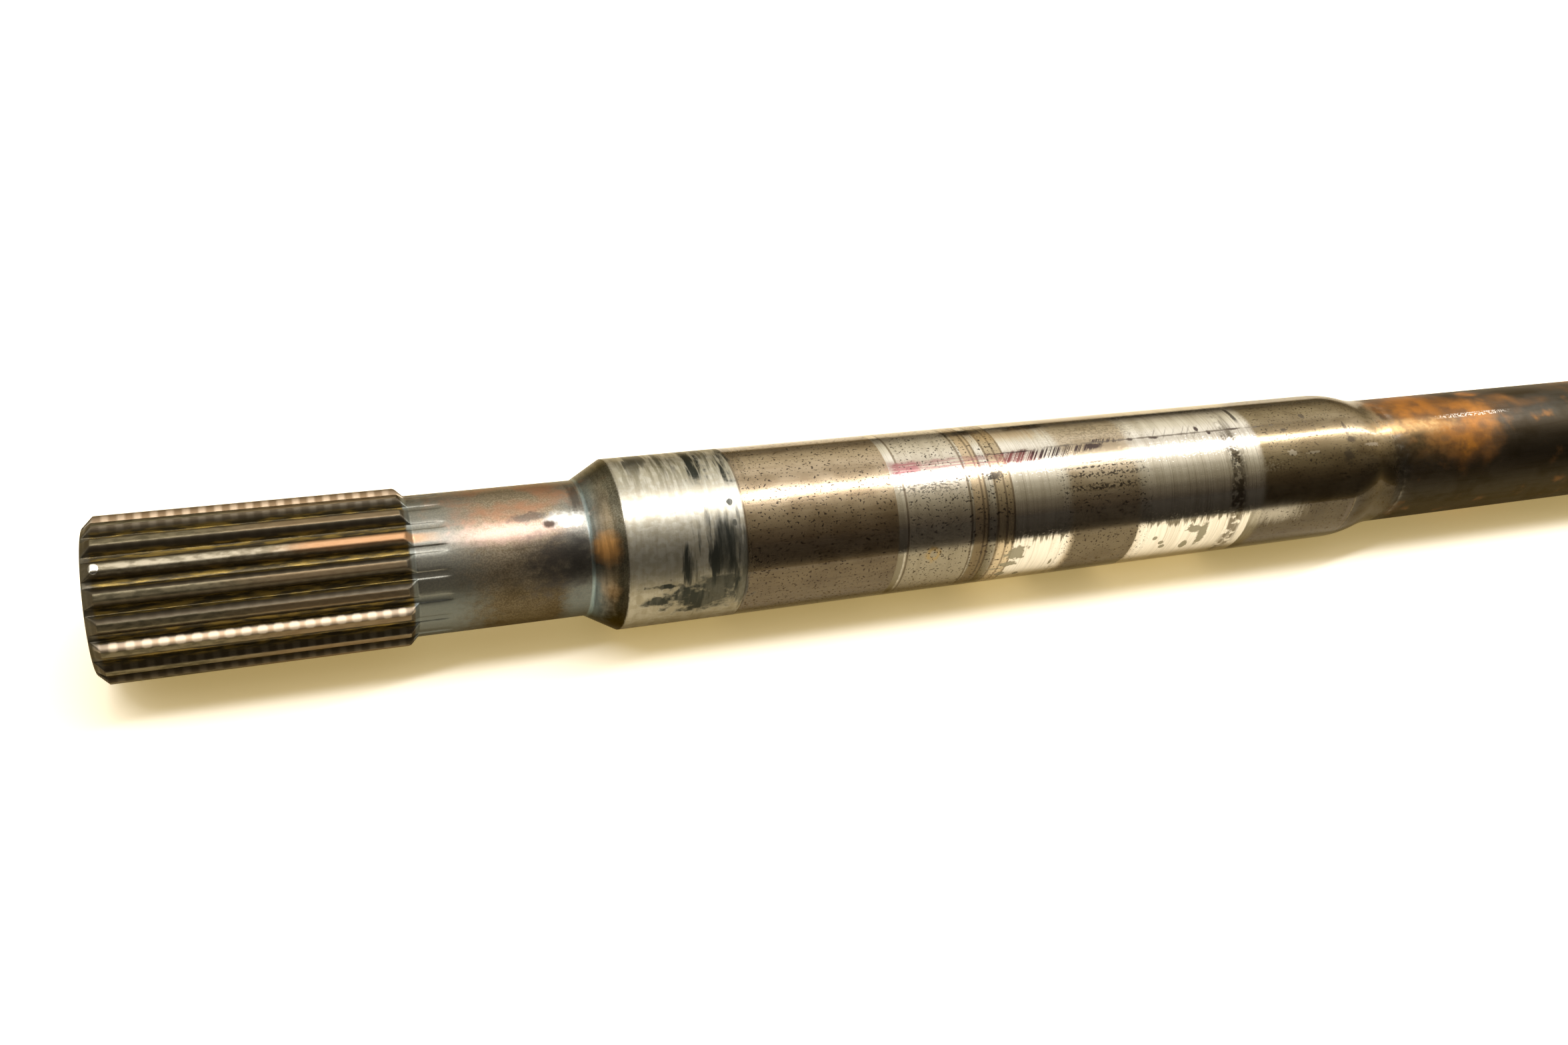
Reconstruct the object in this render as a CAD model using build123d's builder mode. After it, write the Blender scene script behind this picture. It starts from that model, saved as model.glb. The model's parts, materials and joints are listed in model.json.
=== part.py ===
from build123d import *
import os
from math import acos, cos, degrees, pi, radians, sin, tan

# Pump drive shaft, turned, hobbed and ground from one steel bar.
# It lies along X. The origin is the centre of the splined end's face, and the
# plain end points to +X. A tooth crest of the spline lies on top, at +Z.

# Involute spline, hobbed on the driving end: reference diameter 40 mm, module 2
tooth_count = 18
tooth_module = 2.0
pressure_angle = 30.0
profile_shift = 0.45  # in modules, outwards
tip_height = 0.45  # from the shifted pitch line to the tips, in modules
root_depth = 0.70  # from the shifted pitch line to the roots, in modules
root_fillet = 0.3
spline_length = 72.2  # from the end's face to the foot of the tooth ends

# Ends of the teeth
end_chamfer = 2.5
tooth_end_angle = 45.0
tooth_end_round = 1.5
tooth_foot_round = 0.8

# The hob runs on past the teeth and lifts out, so it grazes the neck
hob_radius = 35.0
hob_overrun = 4.6  # at full depth, past the foot of the tooth ends
slot_depth = 0.2  # of the slots that it leaves in the neck
hob_clearance = 0.8  # the cut starts and ends this far outside the metal

# Neck behind the spline, and the cone up to the body
neck_length = 42.3
cone_angle = 30.0
cone_foot_round = 1.5
cone_edge_round = 0.3

# Ground body, which carries bearings and seals
body_diameter = 45.0
body_length = 227.5

# Soft step down to the plain end
tail_diameter = 39.0
blend_length = 21.0
tail_length = 129.0
tail_chamfer = 1.5

# Centre-drilled holes that the shaft is machined between
centre_drill_diameter = 4.0
centre_drill_depth = 10.0
centre_cone_diameter = 8.5
centre_cone_angle = 60.0

# Radii of the spline, from the pitch circle and the hob's shift
pitch_radius = tooth_module * tooth_count / 2
base_radius = pitch_radius * cos(radians(pressure_angle))
tip_radius = pitch_radius + (profile_shift + tip_height) * tooth_module
root_radius = pitch_radius + (profile_shift - root_depth) * tooth_module
tooth_at_pitch = tooth_module * (pi / 2 + 2 * profile_shift * tan(radians(pressure_angle)))

# The other radii, and the stations along X
neck_radius = root_radius + slot_depth
body_radius = body_diameter / 2
tail_radius = tail_diameter / 2
cone_length = (body_radius - neck_radius) / tan(radians(cone_angle))
tooth_end_length = (tip_radius - neck_radius) / tan(radians(tooth_end_angle))

tooth_end_start = spline_length - tooth_end_length
cone_start = spline_length + neck_length
body_start = cone_start + cone_length
body_end = body_start + body_length
tail_start = body_end + blend_length
overall_length = tail_start + tail_length


def involute(angle):
    """Involute function of a pressure angle in radians."""
    return tan(angle) - angle


def space_half_angle(radius):
    """Half of the gap between two teeth at a radius, in radians.

    A tooth is as wide as the shifted rack leaves it at the pitch circle, and
    narrows outwards by the involute function. Inside the base circle, where
    there is no involute, its flanks run straight in.
    """
    angle_at_radius = acos(base_radius / max(radius, base_radius))
    tooth_half_angle = (
        tooth_at_pitch / (2 * pitch_radius)
        + involute(radians(pressure_angle))
        - involute(angle_at_radius)
    )
    return pi / tooth_count - tooth_half_angle


def flank(side):
    """Points up a flank of the tooth space centred on local X; side is 1 or -1."""
    point_count = 5
    cut_radius = tip_radius + hob_clearance
    points = []
    for index in range(point_count):
        radius = root_radius + (cut_radius - root_radius) * index / (point_count - 1)
        angle = side * space_half_angle(radius)
        points.append((radius * cos(angle), radius * sin(angle)))
    return points


# One tooth space as the hob cuts it, along local Z: a straight stretch from
# beyond the end's face, then the arc on which the hob lifts out of the neck.
lift_start = spline_length + hob_overrun
lift_angle = degrees(acos(1 - (slot_depth + hob_clearance) / hob_radius))
hob_axis = Axis((root_radius + hob_radius, 0, lift_start), (0, 1, 0))

with BuildPart() as tooth_space:
    with BuildSketch(Plane.XY.offset(lift_start)) as space_profile:
        with BuildLine():
            left_flank = Spline(flank(1))
            right_flank = Spline(flank(-1))
            ThreePointArc(left_flank @ 0, (root_radius, 0), right_flank @ 0)
            Line(left_flank @ 1, right_flank @ 1)
        make_face()
        fillet(space_profile.vertices().group_by(Axis.X)[0], root_fillet)
    extrude(amount=-(lift_start + hob_clearance))
    revolve(space_profile.sketch, axis=hob_axis, revolution_arc=lift_angle)

# The turned and ground blank is half its outline, revolved about the axis. Then
# the spaces are hobbed out all round, and both ends are centre-drilled.
with BuildPart() as drive_shaft:
    with BuildSketch(Plane.XZ) as half_outline:
        with BuildLine():
            Polyline(
                (0, 0),
                (0, tip_radius - end_chamfer),
                (end_chamfer, tip_radius),
                (tooth_end_start, tip_radius),
                (spline_length, neck_radius),
                (cone_start, neck_radius),
                (body_start, body_radius),
                (body_end, body_radius),
            )
            blend_middle = ((body_end + tail_start) / 2, (body_radius + tail_radius) / 2)
            TangentArc((body_end, body_radius), blend_middle, tangent=(1, 0))
            TangentArc((tail_start, tail_radius), blend_middle, tangent=(-1, 0))
            Polyline(
                (tail_start, tail_radius),
                (overall_length - tail_chamfer, tail_radius),
                (overall_length, tail_radius - tail_chamfer),
                (overall_length, 0),
                (0, 0),
            )
        make_face()
        for corner, corner_round in (
            ((tooth_end_start, tip_radius), tooth_end_round),
            ((spline_length, neck_radius), tooth_foot_round),
            ((cone_start, neck_radius), cone_foot_round),
            ((body_start, body_radius), cone_edge_round),
        ):
            fillet(half_outline.vertices().sort_by_distance(corner)[0], corner_round)
    revolve(axis=Axis.X)

    with Locations(Plane.YZ):
        with PolarLocations(0, tooth_count):
            add(tooth_space.part, mode=Mode.SUBTRACT)

    driving_face = Plane((0, 0, 0), z_dir=(-1, 0, 0))
    plain_face = Plane((overall_length, 0, 0), z_dir=(1, 0, 0))
    with Locations(driving_face, plain_face):
        CounterSinkHole(
            centre_drill_diameter / 2,
            centre_cone_diameter / 2,
            centre_drill_depth,
            centre_cone_angle,
        )

os.makedirs("parts", exist_ok=True)
drive_shaft.part.label = "drive_shaft"
export_step(drive_shaft.part, "parts/drive_shaft.step")
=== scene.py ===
import json
from math import cos, pi, radians, sin, tan
import bpy
import numpy as np
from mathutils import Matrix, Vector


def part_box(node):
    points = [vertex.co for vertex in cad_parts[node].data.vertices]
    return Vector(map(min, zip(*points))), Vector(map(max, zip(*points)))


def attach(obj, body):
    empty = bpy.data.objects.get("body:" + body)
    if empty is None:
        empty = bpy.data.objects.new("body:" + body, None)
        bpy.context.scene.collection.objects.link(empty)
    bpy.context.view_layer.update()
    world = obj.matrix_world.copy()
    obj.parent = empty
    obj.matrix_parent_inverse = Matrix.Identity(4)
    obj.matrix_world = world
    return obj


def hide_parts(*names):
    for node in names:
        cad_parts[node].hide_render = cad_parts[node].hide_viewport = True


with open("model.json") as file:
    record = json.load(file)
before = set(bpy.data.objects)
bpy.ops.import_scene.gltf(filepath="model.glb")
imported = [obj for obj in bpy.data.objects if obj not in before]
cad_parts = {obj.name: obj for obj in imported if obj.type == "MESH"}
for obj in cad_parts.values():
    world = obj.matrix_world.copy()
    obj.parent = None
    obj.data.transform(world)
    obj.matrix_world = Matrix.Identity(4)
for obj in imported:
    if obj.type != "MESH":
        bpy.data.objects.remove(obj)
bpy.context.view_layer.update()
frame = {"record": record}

mm = 0.001

# The camera stands close in front of the spline's end and looks down along the
# shaft towards its plain end, at the photograph's angle.
camera_foot = 39.3 * mm
camera_distance = 363.6 * mm
camera_elevation = radians(48.0)
camera_turn = (radians(44.91), radians(-10.38), radians(-18.43))

camera_data = bpy.data.cameras.new("camera")
camera_data.lens = 32.39
camera_data.sensor_width = 36.0
camera_data.clip_start = 0.01
camera = bpy.data.objects.new("camera", camera_data)
camera.location = (
    camera_foot,
    -camera_distance * cos(camera_elevation),
    camera_distance * sin(camera_elevation),
)
camera.rotation_euler = camera_turn
bpy.context.scene.collection.objects.link(camera)
bpy.context.scene.camera = camera

# The turned blank: a steel bar with a chamfered end, a neck, a cone, the body
# and a soft step down to the plain end. Each corner keeps its small round.
mounts = {mount["name"]: mount for mount in frame["record"]["mounts"]}


def wall(name):
    """Start, end and radius of a round mount's wall, in metres along X."""
    half_length = mounts[name]["dims"]["length_mm"] * mm / 2
    centre = mounts[name]["pos_m"][0]
    return centre - half_length, centre + half_length, mounts[name]["dims"]["r_mm"] * mm


body_start, body_end, body_radius = wall("body_journal")
tail_start, tail_end, tail_radius = wall("plain_end")
shaft_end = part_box("drive_shaft")[1][0]
tip_radius = 19.8 * mm
root_radius = 17.5 * mm
neck_radius = 17.7 * mm
spline_end = 72.2 * mm
tooth_end_start = spline_end - (tip_radius - neck_radius)
cone_start = 114.5 * mm
end_chamfer = 2.5 * mm
centre_drill_radius = 2.0 * mm
centre_drill_depth = 10.0 * mm
centre_cone_radius = 4.25 * mm
centre_cone_depth = (centre_cone_radius - centre_drill_radius) / tan(radians(30))


def rounded(before, corner, after, radius, steps):
    """Arc in place of a corner of the outline, tangent to both its sides.

    Its centre lies on the bisector, at the radius over the sine of half the
    corner's angle. The arc turns evenly from one side's normal to the other's.
    """
    before, corner, after = (np.array(point, float) for point in (before, corner, after))
    to_before = (before - corner) / np.linalg.norm(before - corner)
    to_after = (after - corner) / np.linalg.norm(after - corner)
    half_angle = np.arccos(to_before @ to_after) / 2
    bisector = (to_before + to_after) / np.linalg.norm(to_before + to_after)
    centre = corner + bisector * radius / np.sin(half_angle)
    first = corner + to_before * radius / np.tan(half_angle) - centre
    last = corner + to_after * radius / np.tan(half_angle) - centre
    sweep = pi - 2 * half_angle
    part = np.linspace(0, 1, steps)[:, None]
    return centre + (np.sin((1 - part) * sweep) * first + np.sin(part * sweep) * last) / np.sin(sweep)


def rounded_run(start, corners, end):
    """Points of a run of corners, each given as (x, radius), its round and its steps."""
    chain = [start] + [corner for corner, _, _ in corners] + [end]
    return [
        rounded(chain[index], corner, chain[index + 2], corner_round, steps)
        for index, (corner, corner_round, steps) in enumerate(corners)
    ]


def soft_step():
    """Two equal arcs that meet midway: one leaves the body level, and the other
    arrives level at the plain end. Their radius is (length² + drop²) / (4 drop)."""
    length = tail_start - body_end
    drop = body_radius - tail_radius
    radius = (length**2 + drop**2) / (4 * drop)
    sweep = np.linspace(0, np.arcsin(length / 2 / radius), 11)
    along = radius * np.sin(sweep)
    fall = radius * (1 - np.cos(sweep))
    crown = np.column_stack([body_end + along, body_radius - fall])
    hollow = np.column_stack([tail_start - along, tail_radius + fall])
    return np.concatenate([crown, hollow[-2::-1]])


hole_rim = (centre_cone_depth, centre_drill_radius)
front_corners = rounded_run(
    hole_rim,
    [
        ((0, centre_cone_radius), 0.15 * mm, 3),
        ((0, tip_radius - end_chamfer), 0.25 * mm, 4),
        ((end_chamfer, tip_radius), 0.5 * mm, 5),
        ((tooth_end_start, tip_radius), 1.5 * mm, 8),
        ((spline_end, neck_radius), 0.8 * mm, 6),
        ((cone_start, neck_radius), 1.5 * mm, 7),
        ((body_start, body_radius), 0.3 * mm, 5),
    ],
    (body_end, body_radius),
)
far_corners = rounded_run(
    (tail_start, tail_radius),
    [
        ((tail_end, tail_radius), 0.3 * mm, 5),
        ((shaft_end, tail_radius - (shaft_end - tail_end)), 0.25 * mm, 4),
        ((shaft_end, centre_cone_radius), 0.15 * mm, 3),
    ],
    (shaft_end - centre_cone_depth, centre_drill_radius),
)
front_hole = np.array([(centre_drill_depth, centre_drill_radius), hole_rim])
far_hole = np.array([(shaft_end, 0), (shaft_end, 0)]) - front_hole[::-1] * [1, -1]
outline = np.concatenate(front_corners[1:] + [soft_step()] + far_corners[:-1])

# The spline: 18 involute teeth, hobbed. The hob moves on a little with each turn,
# so it leaves shallow scallops, and where it lifts out it leaves slots in the neck.
tooth_count = 18
module = 2.0 * mm
pressure_angle = radians(30)
profile_shift = 0.45
hob_radius = 35.0 * mm
hob_feed = 3.5 * mm
last_cut = 76.8 * mm
feed_count = 22
deepest_lift = 0.5 * mm
slot_depth = neck_radius - root_radius
slots_end = 84.0 * mm
crest_edge = 0.32 * mm
root_fillet = 0.3 * mm
pitch_radius = tooth_count * module / 2
base_radius = pitch_radius * cos(pressure_angle)
tooth_at_pitch = module * (pi / 2 + 2 * profile_shift * tan(pressure_angle))


def tooth_half_angle(radius):
    """Half of a tooth's angle at a radius: half its share of the pitch circle, plus
    the involute function of the pressure angle, less that of the angle here."""
    angle_here = np.arccos(np.clip(base_radius / radius, -1, 1))
    involute_here = np.tan(angle_here) - angle_here
    involute_at_pitch = tan(pressure_angle) - pressure_angle
    return tooth_at_pitch / (2 * pitch_radius) + involute_at_pitch - involute_here


def hob_lift(x):
    """How far the hob stays off its full depth at x: the height of its arc over
    the nearest place where it stood at full depth."""
    turns_back = np.maximum(np.round((last_cut - x) / hob_feed), 0)
    off_centre = np.minimum(x - (last_cut - turns_back * hob_feed), hob_radius)
    return hob_radius - np.sqrt(hob_radius**2 - off_centre**2)


def half_tooth(x, outer):
    """Angles from a crest's middle, and radii, of the columns over half a tooth.

    They run over the crest, round its edge, down the involute flank, round the
    root and on to the middle of the space. Where the blank is thinner than the
    cut's floor they all lie on the blank, and past the slots they spread evenly.
    """
    lift = hob_lift(x)
    floor = np.minimum(root_radius + lift, outer)
    depth = outer - floor
    edge = np.minimum(crest_edge, 0.35 * depth)
    fillet = np.minimum(root_fillet, 0.4 * depth)
    high = outer - edge
    low = floor + fillet
    third = (high - low) / 3
    radii = [outer, outer, outer, outer - 0.3 * edge, high, high - third, low + third, low]
    radii += [floor + 0.3 * fillet, floor, floor]

    def flank_angle(radius):
        return tooth_half_angle(radius - np.minimum(lift, deepest_lift))

    crest = flank_angle(outer)
    foot = flank_angle(low)
    angles = [0 * crest, 0.5 * (crest - edge / outer), crest - edge / outer]
    angles += [crest - 0.25 * edge / outer, flank_angle(high), flank_angle(high - third)]
    angles += [flank_angle(low + third), foot, foot + 0.35 * fillet / floor]
    angles += [foot + 1.1 * fillet / floor, 0 * crest + pi / tooth_count]

    shallow = 0.15 * np.clip(1 - depth / (3 * slot_depth), 0, 1)
    past_slots = np.clip((x - slots_end) / (24 * mm), 0, 1)
    inside_ends = np.clip((root_radius - outer) / (2 * mm), 0, 1)
    evenness = np.maximum(np.maximum(shallow, past_slots), inside_ends)[:, None]
    even = np.linspace(0, pi / tooth_count, len(angles))
    return np.stack(angles, axis=1) * (1 - evenness) + even * evenness, np.stack(radii, axis=1)


# Rows along the shaft: the outline's own, and more for the scallops, the tooth
# ends, the slots and the long plain stretches. Each tooth turns into the columns.
rows_per_feed = 6
scallop_rows = last_cut - np.arange(feed_count * rows_per_feed) * hob_feed / rows_per_feed
extra_rows = np.concatenate([
    scallop_rows,
    np.linspace(0.3 * mm, end_chamfer - 0.3 * mm, 6),
    np.linspace(tooth_end_start + 0.7 * mm, spline_end - 0.4 * mm, 5),
    last_cut + np.arange(1, 12) * 0.42 * mm,
    np.linspace(slots_end, cone_start - 3 * mm, 6),
    np.linspace(body_start + 4 * mm, body_end - 4 * mm, 16),
    np.linspace(tail_start + 6 * mm, tail_end - 4 * mm, 10),
])
least_gap = 0.08 * mm
gaps = np.abs(extra_rows[:, None] - outline[None, :, 0]).min(axis=1)
extra_rows = np.unique(np.round(extra_rows[(gaps > least_gap) & (extra_rows > 0)], 6))
extra_radii = np.interp(extra_rows, outline[:, 0], outline[:, 1])
outline = np.concatenate([outline, np.column_stack([extra_rows, extra_radii])])
outline = outline[np.argsort(outline[:, 0], kind="stable")]
rows = np.concatenate([front_hole, front_corners[0], outline, far_corners[-1], far_hole])

half_angles, half_radii = half_tooth(rows[:, 0], rows[:, 1])
tooth_angles = np.concatenate([-half_angles[:, :0:-1], half_angles[:, :-1]], axis=1)
tooth_radii = np.concatenate([half_radii[:, :0:-1], half_radii[:, :-1]], axis=1)
crest_angles = pi / tooth_count + np.arange(tooth_count) * 2 * pi / tooth_count
angles = (crest_angles[None, :, None] + tooth_angles[:, None, :]).reshape(len(rows), -1)
radii = np.tile(tooth_radii, (1, tooth_count))
row_count, column_count = angles.shape
ring_points = np.stack([
    np.broadcast_to(rows[:, :1], angles.shape),
    radii * np.cos(angles),
    radii * np.sin(angles),
], axis=2).reshape(-1, 3)
poles = [(centre_drill_depth, 0, 0), (shaft_end - centre_drill_depth, 0, 0)]
points = np.concatenate([ring_points, poles])

# Each two rows are joined by four-sided faces, and a fan closes each drilled hole
columns = np.arange(column_count)
row_index, column_index = np.meshgrid(np.arange(row_count - 1), columns, indexing="ij")
next_column = (column_index + 1) % column_count
quads = np.stack([
    row_index * column_count + column_index,
    row_index * column_count + next_column,
    (row_index + 1) * column_count + next_column,
    (row_index + 1) * column_count + column_index,
], axis=2).reshape(-1, 4)
next_columns = np.roll(columns, -1)
last_ring = (row_count - 1) * column_count
front_pole = np.full(column_count, len(points) - 2)
far_pole = np.full(column_count, len(points) - 1)
front_fan = np.column_stack([front_pole, next_columns, columns])
far_fan = np.column_stack([last_ring + columns, last_ring + next_columns, far_pole])

mesh = bpy.data.meshes.new("shaft")
mesh.from_pydata(points.tolist(), [], quads.tolist() + front_fan.tolist() + far_fan.tolist())
mesh.shade_smooth()
shaft = bpy.data.objects.new("shaft", mesh)
bpy.context.scene.collection.objects.link(shaft)
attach(shaft, "root")
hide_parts("drive_shaft")

# Its finish: ground steel, polished in rings where bearings and seals ran, filmed
# brown by hot oil elsewhere, smeared black in places, and rusting at the plain end.


def feed(tree, socket, value):
    """Links a socket to another's output, or sets it to a plain number or colour."""
    if isinstance(value, bpy.types.NodeSocket):
        tree.links.new(value, socket)
    else:
        socket.default_value = value


def maths(tree, operation, *values):
    """One step of arithmetic on sockets or numbers."""
    step = tree.nodes.new("ShaderNodeMath")
    step.operation = operation
    for socket, value in zip(step.inputs, values):
        feed(tree, socket, value)
    return step.outputs[0]


def strongest(tree, masks):
    """The highest of several masks at each point."""
    highest = masks[0]
    for mask in masks[1:]:
        highest = maths(tree, "MAXIMUM", highest, mask)
    return highest


def rise(tree, value, low, high):
    """A smooth mask: 0 where the value is at low, 1 where it is at high."""
    step = tree.nodes.new("ShaderNodeMapRange")
    step.interpolation_type = "SMOOTHSTEP"
    feed(tree, step.inputs["Value"], value)
    feed(tree, step.inputs["From Min"], low)
    feed(tree, step.inputs["From Max"], high)
    return step.outputs["Result"]


def grain(tree, skin, density, detail=3.0, seed=0.0):
    """Noise between 0 and 1, with so many lumps to a millimetre along X, Y and Z."""
    scaled = tree.nodes.new("ShaderNodeVectorMath")
    scaled.operation = "MULTIPLY_ADD"
    tree.links.new(skin, scaled.inputs[0])
    scaled.inputs[1].default_value = density
    scaled.inputs[2].default_value = (seed, seed, seed)
    noise = tree.nodes.new("ShaderNodeTexNoise")
    tree.links.new(scaled.outputs[0], noise.inputs["Vector"])
    noise.inputs["Scale"].default_value = 1.0
    noise.inputs["Detail"].default_value = detail
    return noise.outputs["Fac"]


def mixed(tree, share, below, above):
    """Goes from one value or colour to another as the share rises from 0 to 1."""
    step = tree.nodes.new("ShaderNodeMix")
    is_colour = isinstance(above, tuple) or getattr(above, "type", "") == "RGBA"
    step.data_type = "RGBA" if is_colour else "FLOAT"
    first = 6 if is_colour else 2
    feed(tree, step.inputs[0], share)
    feed(tree, step.inputs[first], below)
    feed(tree, step.inputs[first + 1], above)
    return step.outputs[2 if is_colour else 0]


def place_on_shaft():
    """Group: where a point lies on the shaft. Along is millimetres from the splined
    end, Around is degrees upwards from the line that faces the camera, Radius is
    millimetres from the axis, and Skin is the point itself in millimetres."""
    tree = bpy.data.node_groups.new("place on the shaft", "ShaderNodeTree")
    for name in ("Along", "Around", "Radius"):
        tree.interface.new_socket(name, in_out="OUTPUT", socket_type="NodeSocketFloat")
    tree.interface.new_socket("Skin", in_out="OUTPUT", socket_type="NodeSocketVector")
    result = tree.nodes.new("NodeGroupOutput")
    point = tree.nodes.new("ShaderNodeTexCoord").outputs["Object"]
    skin = tree.nodes.new("ShaderNodeVectorMath")
    skin.operation = "SCALE"
    tree.links.new(point, skin.inputs[0])
    skin.inputs["Scale"].default_value = 1 / mm
    axes = tree.nodes.new("ShaderNodeSeparateXYZ")
    tree.links.new(skin.outputs[0], axes.inputs[0])
    along, across, height = axes.outputs
    towards_front = maths(tree, "MULTIPLY", across, -1)
    turn = maths(tree, "DEGREES", maths(tree, "ARCTAN2", height, towards_front))
    facing_camera = camera_elevation * 180 / pi
    around = maths(tree, "WRAP", maths(tree, "SUBTRACT", turn, facing_camera), 180, -180)
    squares = maths(tree, "MULTIPLY_ADD", across, across, maths(tree, "MULTIPLY", height, height))
    tree.links.new(along, result.inputs["Along"])
    tree.links.new(around, result.inputs["Around"])
    tree.links.new(maths(tree, "SQRT", squares), result.inputs["Radius"])
    tree.links.new(skin.outputs[0], result.inputs["Skin"])
    return tree


def worn_mark():
    """Group: a mark with a torn edge. Its distance from the middle is
    (|u|^p + |v|^p)^(1/p), where u and v are the shares of its half length and half
    width and p is 2 for an oval and more for a block, plus the noise at its edge."""
    tree = bpy.data.node_groups.new("worn mark", "ShaderNodeTree")
    for name in ("Along", "Around", "Grain", "Middle", "Half length", "Turn", "Half width",
                 "Squareness", "Torn", "Softness"):
        tree.interface.new_socket(name, in_out="INPUT", socket_type="NodeSocketFloat")
    tree.interface.new_socket("Mask", in_out="OUTPUT", socket_type="NodeSocketFloat")
    given = tree.nodes.new("NodeGroupInput").outputs
    result = tree.nodes.new("NodeGroupOutput")
    powers = []
    for place, middle, half in (("Along", "Middle", "Half length"), ("Around", "Turn", "Half width")):
        offset = maths(tree, "ABSOLUTE", maths(tree, "SUBTRACT", given[place], given[middle]))
        share = maths(tree, "DIVIDE", offset, given[half])
        powers.append(maths(tree, "POWER", share, given["Squareness"]))
    root = maths(tree, "DIVIDE", 1, given["Squareness"])
    distance = maths(tree, "POWER", maths(tree, "ADD", *powers), root)
    tear = maths(tree, "SUBTRACT", given["Grain"], 0.5)
    edge = maths(tree, "MULTIPLY_ADD", tear, given["Torn"], distance)
    outer = maths(tree, "ADD", 1, given["Softness"])
    inner = maths(tree, "SUBTRACT", 1, given["Softness"])
    tree.links.new(rise(tree, edge, outer, inner), result.inputs["Mask"])
    return tree


steel = bpy.data.materials.new("shaft steel")
steel.use_nodes = True
tree = steel.node_tree
steel_shader = tree.nodes["Principled BSDF"]
steel_shader.inputs["Specular Tint"].default_value = (0.54, 0.495, 0.42, 1)
steel_shader.inputs["Coat Roughness"].default_value = 0.06
steel_shader.inputs["Coat IOR"].default_value = 1.45

place = tree.nodes.new("ShaderNodeGroup")
place.node_tree = place_on_shaft()
along, around, radius, skin = place.outputs
mark_group = worn_mark()

ring_lines = grain(tree, skin, (3.2, 0.03, 0.03), detail=4.0)
broad_rings = grain(tree, skin, (0.45, 0.01, 0.01), seed=3.0)
streaks = grain(tree, skin, (0.05, 0.8, 0.8), seed=7.0)
clouds = grain(tree, skin, (0.10, 0.13, 0.13), detail=5.0)
blots = grain(tree, skin, (0.5, 0.6, 0.6), detail=4.0, seed=11.0)
specks = grain(tree, skin, (1.3, 1.7, 1.7), detail=2.0, seed=5.0)
drips = grain(tree, skin, (0.9, 0.12, 0.12), detail=4.0, seed=9.0)
wipes = grain(tree, skin, (0.55, 0.07, 0.07), detail=5.0, seed=17.0)

finish = {
    "Base Color": (0.62, 0.58, 0.50, 1),
    "Metallic": 1.0,
    "Roughness": 0.14,
    "Coat Weight": 0.0,
}


def lay(mask, **layer):
    """Covers the finish so far with another, as far as its mask goes."""
    sockets = {"colour": "Base Color", "metal": "Metallic", "rough": "Roughness", "wet": "Coat Weight"}
    for name, value in layer.items():
        value = (*value, 1) if isinstance(value, tuple) else value
        finish[sockets[name]] = mixed(tree, mask, finish[sockets[name]], value)


def shade(mask, colour):
    """Multiplies the colour so far by another, as far as the mask goes."""
    step = tree.nodes.new("ShaderNodeMix")
    step.data_type = "RGBA"
    step.blend_type = "MULTIPLY"
    feed(tree, step.inputs[0], mask)
    feed(tree, step.inputs[6], finish["Base Color"])
    feed(tree, step.inputs[7], (*colour, 1))
    finish["Base Color"] = step.outputs[2]


def ring(start, end, soft):
    """Mask of a ring round the shaft between two places along it, in millimetres.
    Its edges are ragged and fade out over the softness to either side."""
    off_middle = maths(tree, "ABSOLUTE", maths(tree, "SUBTRACT", along, (start + end) / 2))
    past_end = maths(tree, "SUBTRACT", off_middle, (end - start) / 2)
    ragged = maths(tree, "MULTIPLY_ADD", maths(tree, "SUBTRACT", blots, 0.5), soft, past_end)
    return rise(tree, ragged, soft, -soft)


def mark(middle, half_length, turn, half_width, square, torn, soft, edge=None):
    """Mask of one mark: its middle and half length in millimetres along the shaft,
    its middle and half width in degrees round it, how square, torn and soft its
    edge is, and the noise that tears it."""
    step = tree.nodes.new("ShaderNodeGroup")
    step.node_tree = mark_group
    tree.links.new(along, step.inputs["Along"])
    tree.links.new(around, step.inputs["Around"])
    tree.links.new(edge or blots, step.inputs["Grain"])
    for name, value in (("Middle", middle), ("Half length", half_length), ("Turn", turn),
                        ("Half width", half_width), ("Squareness", square), ("Torn", torn),
                        ("Softness", soft)):
        step.inputs[name].default_value = value
    return step.outputs["Mask"]


def both(first, second):
    """Where two masks overlap, or a share of one."""
    return maths(tree, "MULTIPLY", first, second)


def less(first, second):
    """A mask with another cut out of it."""
    return maths(tree, "MULTIPLY", first, maths(tree, "SUBTRACT", 1, second))


def lines_across(value, density):
    """Noise between 0 and 1 that changes with one value only, so it makes lines."""
    noise = tree.nodes.new("ShaderNodeTexNoise")
    noise.noise_dimensions = "1D"
    feed(tree, noise.inputs["W"], value)
    noise.inputs["Scale"].default_value = density
    noise.inputs["Detail"].default_value = 3.0
    return noise.outputs["Fac"]


# Grinding lines run round the bare steel
shade(rise(tree, ring_lines, 0.50, 0.70), (0.80, 0.79, 0.77))
shade(rise(tree, broad_rings, 0.48, 0.66), (0.90, 0.89, 0.87))

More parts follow.
